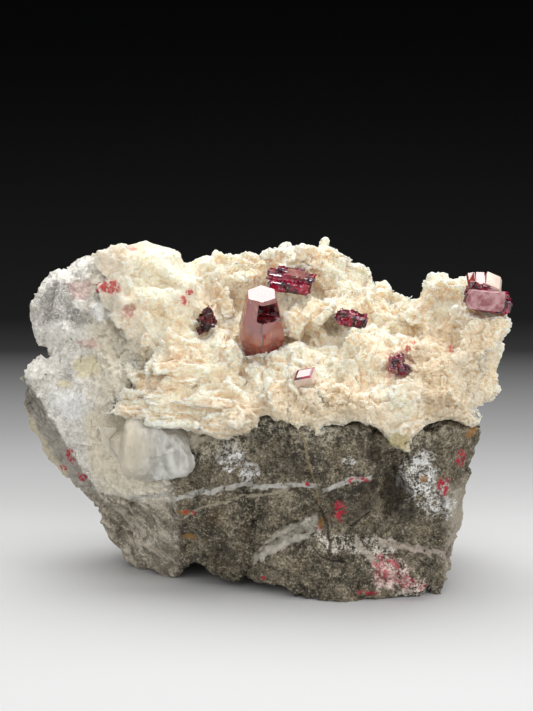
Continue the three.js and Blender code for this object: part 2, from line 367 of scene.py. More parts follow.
def fuller(swellings, steps):
    """The surface swollen at each (middle, half sizes, height), and standing out below each step, a (traced
    line, height, reach below the line)."""
    form = Form("fuller")
    height = 0.0
    for middle, half, high in swellings:
        height = form.spot(middle, half) * high + height
    for line, high, reach in steps:
        away, share = form.beside(line)
        away = away + (form.noise(2, detail=4) - 0.5) * 1.2
        inside = form.fade(share, -0.15, 0.1) * form.fade(share, 1.15, 0.9)
        below = form.fade(away, LEDGE_BRINK, -LEDGE_BRINK) * form.fade(away, -reach, -reach * 0.3)
        height = below * inside * high + height
    form.move(height)
    return form.made()


def blunted(piece, length):
    """Smooths the points of a piece that stand farther than a length from the middle of their neighbours."""
    points = piece.data.vertices
    around = [[] for point in points]
    for edge in piece.data.edges:
        start, end = edge.vertices
        around[start].append(points[end].co)
        around[end].append(points[start].co)
    middles = [sum(near, Vector()) / len(near) for near in around]
    sharp = [(point.co - middle).length > length for point, middle in zip(points, middles)]
    with edit_mode(piece, "DESELECT"):
        bpy.ops.mesh.select_mode(type="VERT")
    piece.data.vertices.foreach_set("select", sharp)
    with edit_mode(piece):
        bpy.ops.mesh.vertices_smooth(factor=1.0, repeat=3)


host_rock = copied("host_rock", "host_rock_surface")
modify(host_rock, "REMESH", mode="VOXEL", voxel_size=ROCK_VOXEL)
bpy.context.view_layer.update()
ledges = [(traced_on(host_rock, line), *measures) for line, *measures in ROCK_LEDGES]
modify(host_rock, "NODES", node_group=fuller(ROCK_FULLER, ledges))
modify(host_rock, "NODES", node_group=broken_surface(ROCK_CHIPS, ROCK_GRAIN))
blunted(host_rock, ROCK_POINT)
bpy.ops.object.shade_smooth_by_angle(angle=ROCK_CREASE)
bpy.context.view_layer.update()

# Seams of other minerals, each a sheet through the rock, cracks, and a painted highlight along a ledge:
# half thickness in mm, colour and strength, then where it shows on the front, in mm right of and above
# the middle of the view.
SEAMS_AND_LEDGE_HIGHLIGHT = (
    # calcite seam, fault, and the pale top of a ledge: a painted highlight
    (0.26, rgb(164, 154, 134), 0.85, ((-13.0, -24.0), (-9.5, -21.8), (-5.2, -20.6), (3.3, -18.9))),
    (0.2, rgb(150, 130, 98), 0.7, ((4.8, -10.6), (6.0, -15.0), (7.7, -22.1))),
    (1.2, rgb(200, 194, 180), 0.75, ((-1.9, -29.6), (1.2, -26.4), (4.8, -24.5), (7.4, -24.2))),
    # seams on the right, and one on the left
    (0.9, rgb(190, 180, 166), 0.8, ((12.6, -26.4), (15.0, -28.9), (19.0, -32.6))),
    (0.5, rgb(186, 172, 158), 0.8, ((16.0, -27.0), (21.0, -27.6), (27.0, -28.4))),
    (0.3, rgb(190, 184, 170), 0.7, ((-16.4, -26.0), (-14.2, -28.4), (-12.6, -30.0))),
    # quartz vein, in two parts
    (0.42, rgb(190, 188, 180), 0.9, (
        (-19.5, -20.2), (-9.5, -19.5), (-3.0, -18.5), (2.0, -18.6), (7.3, -18.8))),
    (0.5, rgb(194, 192, 184), 0.9, ((7.9, -19.4), (11.2, -18.1), (15.0, -17.5))),
    # cracks
    (0.34, rgb(46, 34, 26), 0.8, ((7.4, -21.4), (8.8, -25.2), (9.0, -28.6))),
    (0.24, rgb(30, 26, 21), 0.8, ((6.6, -27.1), (8.4, -29.0), (11.4, -29.6))),
    (0.2, rgb(30, 26, 21), 0.8, ((11.8, -24.8), (12.8, -23.8), (14.9, -22.3))),
    (0.16, rgb(30, 26, 22), 0.8, ((21.9, -29.4), (23.8, -29.7))),
)
# Where the crust ends on the rock below: its lower lip.
CRUST_LIP = (
    (-9.5, -14.2), (-5.8, -12.9), (-3.8, -12.2), (-1.0, -10.4), (2.9, -9.8), (6.1, -11.2), (8.5, -11.5),
    (10.5, -10.4), (13.2, -9.8), (17.2, -11.6), (19.2, -13.2), (21.2, -12.7), (22.9, -11.9), (25.8, -9.5),
    (30.1, -9.9))
lip = traced_on(host_rock, CRUST_LIP)

rock = Finish("host_rock", Roughness=0.85, Specular_IOR_Level=0.35)
x, y, z = rock.parts()
grain = rock.noise(0.28, detail=2, rough=0.6)
gritty = rock.noise(0.9, detail=3, rough=0.65, offset=(0.2, 0, 0))
patches = rock.noise(4.5, detail=4, rough=0.6)
edge = (rock.noise(1.8, detail=5, rough=0.75, offset=(0, 0.3, 0)) - 0.5) * 2.2
brownish = rock.noise(3.4, detail=4, rough=0.6, offset=(0.4, 0, 0))

light_grain = rock.fade(grain, 0.52, 0.64)
dark_grain = rock.fade(grain, 0.47, 0.35)
rock.body = rock.mix(rgb(56, 52, 43), rgb(144, 133, 112), rock.fade(patches * 0.7 + gritty * 0.6, 0.46, 0.84))
rock.paint(rgb(108, 92, 66), rock.fade(brownish, 0.52, 0.68) * 0.55)
rock.paint(rgb(176, 167, 149), light_grain * rock.fade(gritty, 0.3, 0.7))
rock.paint(rgb(38, 35, 30), dark_grain * 0.7)

# the taupe left foot with its slanting streaks, and the lighter, narrow right side
foot = rock.fade(x + edge, -11.5, -13.5) * rock.fade(z + edge, 12.5, 11.0)
slanting = rock.node("ShaderNodeVectorRotate", {}, {"Vector": rock.place, "Axis": (0, 1, 0), "Angle": 0.9})
streaks = rock.noise(1.1, detail=4, place=rock.vector("MULTIPLY", slanting, (1, 1, 0.3)))
taupe = rock.mix(rgb(138, 130, 116), rgb(224, 213, 194), rock.fade(streaks + (grain - 0.5) * 0.5, 0.36, 0.66))
rock.paint(taupe, foot * 0.85)
side = rock.fade(x + edge, 24.6, 26.2) * rock.fade(z, 17, 13)
rock.paint(rgb(186, 177, 160), side * 0.75)

# the pale, sugary wing above the foot, with its grey, white, yellow and pink places
wing = rock.fade(x + z * 0.35 + edge * 2, -7.5, -10.5) * rock.fade(z + edge, 11.0, 13.0)
pale = rock.mix(rgb(204, 199, 188), rgb(253, 249, 240), rock.fade(patches * 0.6 + gritty * 0.6, 0.42, 0.74))
pale = rock.mix(pale, rgb(252, 250, 246), light_grain * 0.5)
pale = rock.mix(pale, rgb(128, 124, 116), dark_grain * 0.25)
rock.paint(pale, wing)
cream = rock.mix(rgb(216, 206, 186), rgb(246, 238, 218), rock.fade(gritty, 0.35, 0.65))
under_crust = rock.beside(lip)[0] + edge * 1.2
rock.paint(cream, rock.fade(under_crust, 1.0, 2.5) * rock.fade(x, -22, -19))
rock.paint(cream, wing * rock.fade(x + edge * 2, -27.5, -22.5))
rock.paint_spots(
    host_rock, edge,
    (rgb(140, 137, 130), 0.75 - light_grain * 0.35, (
        (-30.0, 7.6, 3.2, 3.6), (-26.4, 5.2, 2.0, 1.6), (-24.0, 8.4, 1.6, 1.2))),
    (rgb(250, 249, 246), 0.75, ((-23.8, 6.2, 2.0, 1.8), (-28.4, -7.0, 4.0, 2.4))),
    (rgb(244, 231, 192), 0.75, ((-25.6, -1.6, 2.9, 1.7), (-28.8, -4.0, 1.6, 0.7))),
    (rgb(214, 164, 156), 0.45, ((-26.0, 1.6, 2.2, 0.8), (-26.4, 9.6, 2.4, 1.6))),
    (rgb(238, 227, 204), 0.85, ((-23.0, -15.2, 3.4, 3.2), (-24.6, -10.6, 2.0, 3.0))))

# darker broken faces and the dark hollow, both painted shade; whitish and pale speckled places, and rust
speckles = rock.fade(gritty * 0.6 + grain * 0.4, 0.42, 0.6)
rock.paint_spots(
    host_rock, edge,
    # painted shade on broken faces
    (rgb(58, 51, 43), 0.5, (
        (12.6, -21.4, 3.8, 2.6), (-6.2, -28.4, 3.2, 1.8), (19.4, -22.6, 3.4, 2.4), (3.6, -15.8, 2.4, 2.2))),
    (rgb(232, 231, 228), speckles, (
        (-5.4, -14.6, 2.6, 2.6), (-2.4, -16.4, 1.6, 2.0), (21.6, -17.6, 3.4, 3.0), (24.6, -20.6, 3.0, 3.0),
        (22.6, -14.6, 2.0, 1.2), (11.8, -15.2, 1.6, 0.8))),
    (rgb(234, 227, 214), speckles * 0.9, (
        (21.6, -34.0, 3.6, 1.4), (15.6, -27.6, 3.4, 1.5), (9.4, -26.8, 3.0, 1.6), (-18.0, -19.9, 1.8, 0.8),
        (6.4, -24.6, 1.6, 1.4))),
    (rgb(156, 114, 56), 0.75, (
        (29.2, -10.9, 1.5, 1.0), (-11.2, -25.8, 1.2, 0.5), (7.7, -23.8, 0.6, 0.8), (-12.0, -22.4, 1.4, 0.4),
        (22.4, -17.6, 0.8, 0.5))),
    # painted shade in the dark hollow
    (rgb(44, 35, 26), 0.7, ((15.4, -14.0, 1.4, 1.6), (18.0, -18.8, 2.0, 4.4), (15.0, -18.6, 2.2, 1.2))))

# the pale fringe of crust crystals below the lip
fringe = rock.fade(under_crust, -2.0, 0.4) * rock.fade(x, -11, -9)
rock.paint(rgb(186, 178, 158), fringe * speckles)

# the seams, cracks and the ledge's painted highlight, of which the thin ones waver less
waver = (rock.noise(2.2, detail=4) - 0.5) * 1.3
for half, color, strength, line in SEAMS_AND_LEDGE_HIGHLIGHT:
    sheet = rock.seam(traced_on(host_rock, line), half, waver * min(1.0, 0.3 + half * 2))
    rock.paint(color, sheet * rock.fade(gritty, 0.3, 0.42) * strength)

# the lower left edge: a dark layered band with a beige rind outside it
down_left = x * -0.85 - z * 0.53 - 16.6
band = rock.fade(down_left + edge * 0.8, -2.4, -1.8) * rock.fade(z + edge * 2, 8, 14)
drawn_out = rock.node("ShaderNodeCombineXYZ", {}, {0: down_left * 4, 1: y, 2: z - x})
drawn_out = rock.vector("SCALE", drawn_out, Scale=MM)
layers = rock.fade(rock.noise(1.1, detail=4, rough=0.65, place=drawn_out), 0.36, 0.7)
layered = rock.mix(rgb(84, 79, 70), rgb(158, 151, 138), layers)
layered = rock.mix(layered, rgb(196, 190, 178), rock.fade(z, 25, 17) * 0.4)
rock.paint(layered, band * 0.9)
rind = rock.fade(down_left + edge, 0.1, 0.8) * rock.fade(z + edge * 2, 8, 12)
rock.paint(rgb(206, 194, 168), rind * 0.85)

# red cinnabar films, and the pink place low on the right
flecks = rock.fade(rock.noise(0.7, detail=3, rough=0.7, offset=(0, 0, 0.4)), 0.44, 0.56)
rock.paint_spots(
    host_rock, edge,
    (rgb(176, 44, 62), flecks, (
        (5.9, -18.4, 0.7, 0.4), (13.4, -17.8, 1.7, 0.5), (10.3, -22.2, 1.3, 1.7), (-11.0, -22.4, 0.9, 0.5),
        (27.8, -14.8, 1.2, 1.6), (25.2, -18.8, 1.3, 1.9), (22.6, -33.0, 1.0, 0.8), (7.4, -24.6, 0.5, 0.4),
        (-0.6, -31.8, 0.6, 0.4), (14.0, -34.0, 2.0, 0.5), (-27.8, -14.4, 1.2, 1.6), (-26.3, -17.2, 0.8, 1.0),
        (-29.0, -16.0, 0.8, 0.7), (-23.6, 9.8, 1.4, 1.1))),
    (rgb(246, 218, 210), speckles * 0.95, ((18.0, -31.2, 3.4, 3.0), (21.0, -32.8, 2.4, 1.6))),
    (rgb(194, 70, 84), flecks * 0.75, ((17.2, -30.6, 2.4, 2.4), (19.6, -32.2, 2.2, 1.2))))
flakes = rock.chips(1.3, 0.7, 0.35) + rock.chips(0.5, 0.8, 0.15)
rock.set(Base_Color=rock.body, Normal=rock.bump(flakes + (grain + gritty) * 0.08))
host_rock.data.materials.append(rock.material)
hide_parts("host_rock")
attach(host_rock, "root")


# Dolomite crust: cream, pearly, saddle-curved crystals grown into one another like shingles, so that only
# their upper rims and corners stand free. They are all one mass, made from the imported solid's form with the
# large plates set on it, and it thins out to nothing at its lower lip.
BED_VOXEL = 0.5 * MM
BED_SOFTENING = 6  # smoothing steps
BED_SUNK = 0.5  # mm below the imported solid, to leave room for the plates
BED_LUMPS = ((2.8, 0.6), (1.1, 0.16))  # width and height, in mm
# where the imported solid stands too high, or, below nought, too low: middle, half sizes and depth, in mm
BED_DIPS = (
    ((-16, -11, 24.5), (7, 7, 3.5), -1.1),
    ((9.6, -3, 36), (2.4, 3, 2.6), 1.2),
    ((-17.6, 4, 44), (11, 14, 9), -1.1),
    ((6, 8, 46), (11, 9, 6), -0.5),
    ((34, -3, 32), (5, 9, 11), -0.7),
)
BED_DROPS = (((18.9, 9, 44), (5.6, 20, 9), 2.2),)  # where its rim is lower
# Where the crust ends on the rock at its left, in mm right of and above the middle of the view.
LEFT_BORDER = ((-23.4, 16.0), (-24.4, 12.0), (-23.4, 8.0), (-22.0, 4.0), (-21.4, 1.0), (-22.6, -1.6),
               (-24.6, -4.0), (-24.6, -7.0), (-24.0, -10.0))
LIP_TAPER = (0.6, -0.6)  # mm, from full thickness to none, across the traced line
BORDER_TAPER = (4.6, -3.0)
LIP_BACK = (0, 5, 0)  # how the crust is drawn back into the rock past the line
BORDER_BACK = (0, 6, -1)
LIP_DEPTH = (9, 3)  # only what is in front of this is drawn back, fully so in front of the second
BORDER_DEPTH = (20, 14)
# width in mm, slope and greatest height in mm of each size of shingle
PLATE_SHINGLES = ((4.2, 0.38, 0.6), (1.8, 0.42, 0.34), (0.9, 0.5, 0.19), (0.5, 0.5, 0.1))
DEEPEST_CREASE = -0.55  # mm
SHINGLE_LEAN = (0, 0, 0.24)  # the upper edge of each stands out
RIDGE_SQUASH = (0.55, 0.8, 1.9)  # on the ridge they are long and low
# a large plate a unit across
PLATE_CORNERS = 16
PLATE_SIDES = (1.0, 0.85, 1)
PLATE_UNEVEN = 0.09  # how far its rim wanders at random
PLATE_FLATTENED = 0.4  # how much of that stays across it
PLATE_RAISED = 0.08  # above its place
PLATE_THICKNESS = 0.2
MASS_VOXEL = 0.2 * MM
MASS_POINT = 0.3 * MM  # a point that stands out farther is smoothed
MASS_CREASE = math.radians(28)
MASS_TRIANGLES = 372000  # for its two halves
MASS_PARTING = 3 * MM  # right of the middle, where they meet


def sunk_bed(depth, lumps, dips=(), drops=(), tapers=()):
    """The surface moved in by depth, swollen by soft lumps, each a (width, height), pressed in at dips, each
    a (middle, half sizes, depth), let down at drops of the same kind, and drawn back past tapers, each a
    (traced line, way and depth, widths across it, reach in depth)."""
    form = Form("sunk_bed")
    height = -depth
    for width, high in lumps:
        height = (form.noise(width, detail=2) - 0.5) * (2 * high) + height
    for middle, half, deep in dips:
        height = height - form.spot(middle, half) * deep
    offset = (0, 0, 0)
    for middle, half, deep in drops:
        down = form.vector("SCALE", (0, 0, -deep), Scale=form.spot(middle, half))
        offset = form.vector("ADD", offset, down)
    ragged = (form.noise(1.4, detail=3) - 0.5) * 2.4
    for traced, way, (whole, gone), (behind, before) in tapers:
        front = form.fade(form.parts()[1], behind, before)
        back = front * form.fade(form.beside(traced)[0] + ragged, whole, gone)
        offset = form.vector("ADD", offset, form.vector("SCALE", way, Scale=back))
    form.move(height, offset)
    return form.made()


def plate_shape(number):
    """One dolomite plate, a unit across: rounded, with an uneven rim, and bent into a saddle."""
    bpy.ops.mesh.primitive_circle_add(vertices=PLATE_CORNERS, radius=0.5, fill_type="TRIFAN")
    plate = bpy.context.object
    with edit_mode(plate, "SELECT"):
        bpy.ops.transform.resize(value=PLATE_SIDES)
        bpy.ops.transform.vertex_random(offset=PLATE_UNEVEN, uniform=1.0, seed=number + 1)
        bpy.ops.transform.resize(value=(1, 1, PLATE_FLATTENED))
        bpy.ops.transform.translate(value=(0, PLATE_RAISED, 0))
    twist = math.radians(10 + 7 * number)
    modify(plate, "SIMPLE_DEFORM", deform_method="TWIST", deform_axis="Y", angle=twist)
    modify(plate, "SOLIDIFY", thickness=PLATE_THICKNESS, offset=0)
    return plate


def smooth_places(form):
    """The upper left of the crust, a grey pit, the ribs by the main crystal and the lip are smoother."""
    x, y, z = form.parts()
    above_lip = form.beside(lip)[0]
    places = form.fade(x, -8, -11) * form.fade(z, 33, 36) * 0.85
    for other in (form.spot((9.6, -3, 36), (2.4, 4, 2.6)), form.spot((5.4, 1, 37.5), (3.6, 6, 4.6)),
                  form.fade(above_lip, 3.4, 1.6), form.fade(above_lip, 3.0, 0.0)):
        places = places.most(other)
    return places


def shingled(sizes, lean):
    """The surface broken into curved plates at slants of their own, in several sizes. Lean is the slant that
    all of them share. On the ridge at the lower left they lie level, one on another."""
    form = Form("shingled")
    ridge = form.spot((-14, -10, 27), (13, 12, 7))
    squashed = form.vector("MULTIPLY", form.place, RIDGE_SQUASH)
    height = 0.0
    for size in sizes:
        level = form.chips(*size, lean, squashed)
        height = form.chips(*size, lean) * (1 - ridge) + level * ridge + height
    height = (height * (1 - smooth_places(form) * 0.65)).most(DEEPEST_CREASE)
    form.move(height + (form.noise(0.6, detail=2) - 0.5) * 0.16)
    form.keep_rim(8, 0.1)
    return form.made()


left_border = traced_on(host_rock, LEFT_BORDER)
tapers = ((lip, LIP_BACK, LIP_TAPER, LIP_DEPTH), (left_border, BORDER_BACK, BORDER_TAPER, BORDER_DEPTH))
crust_bed = copied("dolomite_crust", "dolomite_bed")
modify(crust_bed, "REMESH", mode="VOXEL", voxel_size=BED_VOXEL)
modify(crust_bed, "SMOOTH", factor=0.8, iterations=BED_SOFTENING)
modify(crust_bed, "NODES", node_group=sunk_bed(BED_SUNK, BED_LUMPS, BED_DIPS, BED_DROPS, tapers))
bpy.context.view_layer.update()

# Plates large enough to be told apart, set one by one: mm right and up as seen, width, height and thickness
# in mm, then the lean, roll and turn in degrees.
BLADES = (
    # three ribs right of the main crystal, and the arch behind the left group
    ((3.3, 5.0), (5.6, 6.6, 1.5), (24, 8, 76)),
    ((5.3, 5.3), (5.8, 7.4, 1.6), (24, 8, 74)),
    ((7.4, 5.5), (5.4, 7.0, 1.5), (24, 8, 72)),
    ((-7.2, 7.6), (4.8, 6.6, 1.1), (-14, -8, -14)),
    # lobes along the rim, from left to right
    ((-8.6, 12.2), (3.2, 3.4, 1.6), (-10, 10, 10)),
    ((-3.4, 12.4), (4.6, 3.4, 1.2), (-16, -6, -6)),
    ((1.6, 13.6), (4.8, 4.0, 1.2), (-14, 22, 8)),
    ((6.0, 14.2), (4.8, 3.8, 1.2), (-12, 14, 14)),
    ((6.1, 12.0), (2.4, 3.2, 0.8), (-10, -10, -14)),
    ((9.8, 13.4), (4.4, 3.8, 1.3), (-12, -12, -8)),
    ((12.8, 11.3), (4.8, 4.6, 1.6), (-14, -24, -10)),
    ((25.4, 9.4), (4.6, 3.4, 1.8), (-12, 8, 6)),
    # teeth in front of the edge crystal
    ((28.9, 6.3), (1.4, 2.6, 0.6), (-14, 12, 10)),
    ((31.0, 6.4), (1.5, 2.4, 0.6), (-10, -14, -8)),
    ((33.0, 6.2), (1.3, 2.4, 0.6), (-12, 8, 12)),
    # the slope below the main crystal
    ((-0.5, -0.5), (4.6, 2.2, 1.2), (4, 3, 2)),
    ((-1.1, -1.9), (3.6, 3.0, 0.8), (-24, 4, 6)),
    ((1.6, -0.9), (1.8, 3.0, 0.7), (-16, -26, -10)),
    ((-4.8, -3.4), (3.2, 2.4, 0.9), (-40, 8, 4)),
    # thin ones that lap over onto the wing
    ((-21.4, 13.2), (5.6, 6.0, 0.9), (-14, -26, 4)),
    ((-21.0, 9.4), (5.6, 6.0, 0.9), (-10, -26, -8)),
    ((-19.8, 6.4), (5.0, 5.0, 0.9), (-10, -26, 10)),
    ((-16.2, 1.6), (4.6, 4.4, 0.9), (-12, -22, 14)),
    ((-17.6, -1.0), (4.4, 3.6, 0.8), (-24, -16, -10)),
    ((-18.2, 4.6), (5.0, 5.0, 0.9), (-12, -24, -12)),
    ((-14.2, -1.4), (4.4, 2.6, 0.7), (-34, 12, 8)),
    ((-12.5, -3.6), (5.4, 2.4, 0.8), (-62, -4, 6)),
    ((-14.4, -6.0), (7.2, 3.4, 1.2), (-56, 2, 4)),
    ((-8.0, -6.4), (7.0, 3.4, 1.2), (-54, -4, -4)),
    ((-13.3, -9.2), (8.6, 2.8, 1.0), (-52, 4, 0)),
    ((-20.2, -4.6), (7.0, 2.4, 0.4), (-58, 14, 8)),
    ((0.6, -5.4), (3.4, 4.0, 1.2), (-30, 10, 20)),
    ((6.8, -3.6), (3.0, 4.2, 0.9), (-30, 16, 16)),
    # the right slope
    ((19.9, -5.5), (4.6, 3.6, 1.6), (-34, -12, 8)),
    ((21.4, 5.2), (4.0, 2.8, 0.8), (-56, 10, -8)),
    ((17.0, 6.6), (5.4, 2.2, 0.6), (-50, -18, 6)),
    ((13.6, -3.4), (5.0, 3.0, 0.9), (-52, -16, 6)),
    ((10.2, -5.6), (4.2, 3.2, 0.9), (-40, -6, 12)),
)


def without_crumbs(piece):
    """Keeps only the largest of the parts that a piece has come apart into."""
    with edit_mode(piece):
        bpy.ops.mesh.separate(type="LOOSE")
    parts = sorted(bpy.context.selected_objects, key=lambda part: len(part.data.polygons))
    piece.data = parts[-1].data.copy()
    for part in parts:
        if part != piece:
            bpy.data.objects.remove(part)


def blade(number, at, size, turned):
    """One large plate set where it is seen on the bed."""
    plate = plate_shape(number % 4)
    wide, high, thick = (c * MM for c in size)
    shaped = Matrix.Diagonal((wide, high, thick / PLATE_THICKNESS, 1))
    plate.data.transform(Matrix.Rotation(math.pi / 2, 4, "X") @ shaped)
    put(plate, seen(crust_bed, *at) - Vector((0, 0, high * 0.1)), turned)
    return plate


crust_mass = bpy.data.objects.new("dolomite_mass", crust_bed.data.copy())
bpy.context.scene.collection.objects.link(crust_mass)
for number, settings in enumerate(BLADES):
    plate = blade(number, *settings)
    select_only(crust_mass)
    plate.select_set(True)
    bpy.ops.object.join()
modify(crust_mass, "REMESH", mode="VOXEL", voxel_size=MASS_VOXEL)
without_crumbs(crust_mass)
modify(crust_mass, "NODES", node_group=shingled(PLATE_SHINGLES, SHINGLE_LEAN))
blunted(crust_mass, MASS_POINT)
crust_mass.data.calc_loop_triangles()
modify(crust_mass, "DECIMATE", ratio=min(1.0, MASS_TRIANGLES / len(crust_mass.data.loop_triangles)))
bpy.ops.object.shade_smooth_by_angle(angle=MASS_CREASE)
bpy.context.view_layer.update()


dolomite = Finish("dolomite", Roughness=0.4, Subsurface_Weight=1.0, Subsurface_Radius=(1.0, 0.92, 0.8),
                  Subsurface_Scale=0.8 * MM)
fine = dolomite.noise(0.6, detail=3, rough=0.6)
drift = dolomite.noise(5, detail=3)
edge = (dolomite.noise(1.3, detail=4, rough=0.7, offset=(0, 0.3, 0)) - 0.5) * 1.2
rim = dolomite.rim()
dolomite.body = dolomite.mix(rgb(250, 228, 197), rgb(253, 241, 219), dolomite.fade(drift, 0.38, 0.6))
# painted shade: a warm tan darkening in the creases, where a place lies below what is round it
dolomite.paint(rgb(228, 203, 164), dolomite.fade(rim + (fine - 0.5) * 0.8, -0.3, -1.5) * 0.32)
# painted highlight: the rims that stand out are made paler
dolomite.paint(rgb(253, 248, 234), dolomite.fade(rim, 0.3, 1.2) * 0.6)
above_lip = dolomite.beside(lip)[0] + edge * 1.5
dolomite.paint(rgb(196, 187, 162), dolomite.fade(above_lip, 6.5, 0.5) * 0.5)
grit = dolomite.fade(dolomite.noise(0.45, detail=4, rough=0.7, offset=(0.3, 0, 0)), 0.5, 0.6)
dolomite.paint(rgb(128, 120, 104), grit * dolomite.fade(above_lip, 3.0, 0.0) * 0.6)
thinning = dolomite.fade(dolomite.beside(left_border)[0] + edge * 2, 7.0, 0.0)
dolomite.paint(rgb(226, 219, 203), thinning * 0.75)
streaks = dolomite.fade(dolomite.noise(0.6, detail=3, rough=0.7, offset=(0, 0, 0.4)), 0.4, 0.56)
dolomite.paint_spots(
    crust_mass, edge,
    (rgb(206, 168, 120), 0.26, (
        (-13.5, -0.4, 2.2, 1.8), (-16.0, -4.6, 3.4, 0.9), (-8.0, -7.0, 3.2, 0.8), (-19.4, -8.0, 2.2, 0.8),
        (-3.0, -11.0, 2.4, 0.8))),
    (rgb(166, 156, 132), 0.7, ((9.6, 4.4, 1.7, 2.1),)),
    (rgb(160, 148, 122), 0.5, ((-17.4, 0.2, 1.6, 1.8),)),
    (rgb(186, 172, 122), 0.7, ((18.8, -12.4, 1.8, 1.8),)),
    # painted shade: the front-facing slopes at the right and in the middle made darker
    (rgb(206, 186, 152), 0.46, ((25.6, -1.6, 8.0, 8.0), (9.0, -6.8, 7.0, 2.6))),
    (rgb(206, 74, 72), streaks * 0.9, (
        (-22.4, 9.8, 1.9, 1.3), (-11.7, 7.9, 0.9, 0.9), (-11.0, 9.0, 0.7, 0.7), (26.4, 0.8, 0.6, 1.1),
        (21.1, 1.9, 0.6, 0.6), (20.2, 0.9, 0.6, 0.7))),
    (rgb(206, 140, 134), streaks * 0.7, (
        (-19.8, 6.5, 1.4, 1.4), (18.8, -1.4, 2.4, 2.6), (-19.5, 15.0, 1.6, 0.8), (5.4, -3.0, 1.7, 1.5))))
large_flakes = dolomite.chips(0.8, 0.8, 0.2)
small_flakes = dolomite.chips(0.36, 0.9, 0.13)
dolomite.set(Base_Color=dolomite.body, Normal=dolomite.bump(large_flakes + small_flakes + fine * 0.16))
crust_mass.data.materials.clear()
crust_mass.data.materials.append(dolomite.material)

# The mass is parted in two, left and right, so that neither piece is too heavy.
with edit_mode(crust_mass, "DESELECT"):
    bpy.ops.mesh.select_mode(type="VERT")
faces = crust_mass.data.polygons
faces.foreach_set("select", [face.center.x < MASS_PARTING for face in faces])
with edit_mode(crust_mass):
    bpy.ops.mesh.separate(type="SELECTED")
for number, piece in enumerate(list(bpy.context.selected_objects)):
    piece.name = f"dolomite_crust_{number}"
    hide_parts("dolomite_crust")
    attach(piece, "root")
bpy.data.objects.remove(crust_bed)


# Milky quartz: one smooth, rounded knob of cloudy quartz at the lower end of the crust, grown
# against the rock. It lets light in a little way and has faint upright streaks.
QUARTZ_VOXEL = 0.35 * MM
QUARTZ_ROUNDING = 34  # smoothing steps
QUARTZ_SWELLING = 0.45  # mm out to the crust and the rock round it
QUARTZ_LUMPS = ((5, 0.35), (1.4, 0.12))
QUARTZ_DIPS = (((-22.5, -7, 21), (4.0, 7, 7), 1.6),)  # it thins out to the left
QUARTZ_FACETS = ((4.0, 0.14, 0.14), (1.8, 0.1, 0.06))
QUARTZ_GRAIN = (0.6, 0.02)
QUARTZ_CREASE = math.radians(30)
# what fills the gap between its two lumps: middle and half sizes in mm
FILLING_MIDDLE = (-17.4, -8.4, 20.2)
FILLING_HALF = (5.6, 3.5, 4.4)

quartz_knob = copied("milky_quartz", "milky_quartz_knob")
bpy.ops.mesh.primitive_ico_sphere_add(subdivisions=4, radius=1)
filling = bpy.context.object
put(filling, Vector(FILLING_MIDDLE) * MM, size=Vector(FILLING_HALF) * MM)
select_only(quartz_knob)
filling.select_set(True)
bpy.ops.object.join()
modify(quartz_knob, "REMESH", mode="VOXEL", voxel_size=QUARTZ_VOXEL)
modify(quartz_knob, "SMOOTH", factor=0.8, iterations=QUARTZ_ROUNDING)
modify(quartz_knob, "NODES", node_group=sunk_bed(-QUARTZ_SWELLING, QUARTZ_LUMPS, QUARTZ_DIPS))
modify(quartz_knob, "NODES", node_group=broken_surface(QUARTZ_FACETS, QUARTZ_GRAIN))
bpy.ops.object.shade_smooth_by_angle(angle=QUARTZ_CREASE)

quartz = Finish("milky_quartz", Roughness=0.3, Subsurface_Weight=0.8, Subsurface_Radius=(1.0, 0.95, 0.85),
                Subsurface_Scale=1.6 * MM, Coat_Weight=0.3, Coat_Roughness=0.2)
cloud = quartz.noise(5, detail=3)
streak = quartz.noise(0.9, detail=3, place=quartz.vector("MULTIPLY", quartz.place, (1, 1, 0.2)))
paler = quartz.fade(cloud * 0.45 + streak * 0.65, 0.42, 0.7)
quartz.body = quartz.mix(rgb(172, 170, 163), rgb(220, 218, 212), paler)
x = quartz.parts()[0]
quartz.paint(rgb(214, 203, 180), quartz.fade(x + (cloud - 0.5) * 6, -15, -20) * 0.8)
quartz.set(Base_Color=quartz.body, Normal=quartz.bump((streak + cloud) * 0.5, 0.9))
quartz_knob.data.materials.append(quartz.material)
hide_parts("milky_quartz")
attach(quartz_knob, "root")


# Cinnabar crystals: deep red, glassy, with the strong surface shine of a very high refractive index. The main
# one, the small one and the edge crystal's faces are cut with flat faces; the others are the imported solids,
# cut back in steps. All have grown into the crust.
CINNABAR_INDEX = 2.5
STEPPED_INDEX = 1.75  # lower, since their rough faces shine less
EDGE_WEAR = 0.09 * MM
CRYSTAL_VOXEL = 0.11 * MM
CRYSTAL_CREASE = math.radians(20)
# node: how it is turned, in degrees, then for each size of step its block in mm and how deep it is cut, in mm
STEPPED = {
    "cinnabar_tabular": ((8, 9, 0), (((1.9, 4.0, 1.5), 0.5), ((0.8, 2.0, 0.42), 0.16))),
    "cinnabar_left": ((10, -20, 0), (((1.3, 1.3, 1.2), 0.8), ((0.5, 0.5, 0.4), 0.2))),
    "cinnabar_right": ((12, 16, 0), (((1.2, 1.0, 0.8), 0.6), ((0.4, 0.4, 0.4), 0.25))),
    "cinnabar_low_right": ((10, -10, 0), (((1.1, 1.0, 1.2), 0.7), ((0.4, 0.4, 0.3), 0.25))),
    "cinnabar_edge": ((4, 6, 0), (((2.2, 2.2, 1.4), 0.3), ((0.7, 0.7, 0.3), 0.1))),
}


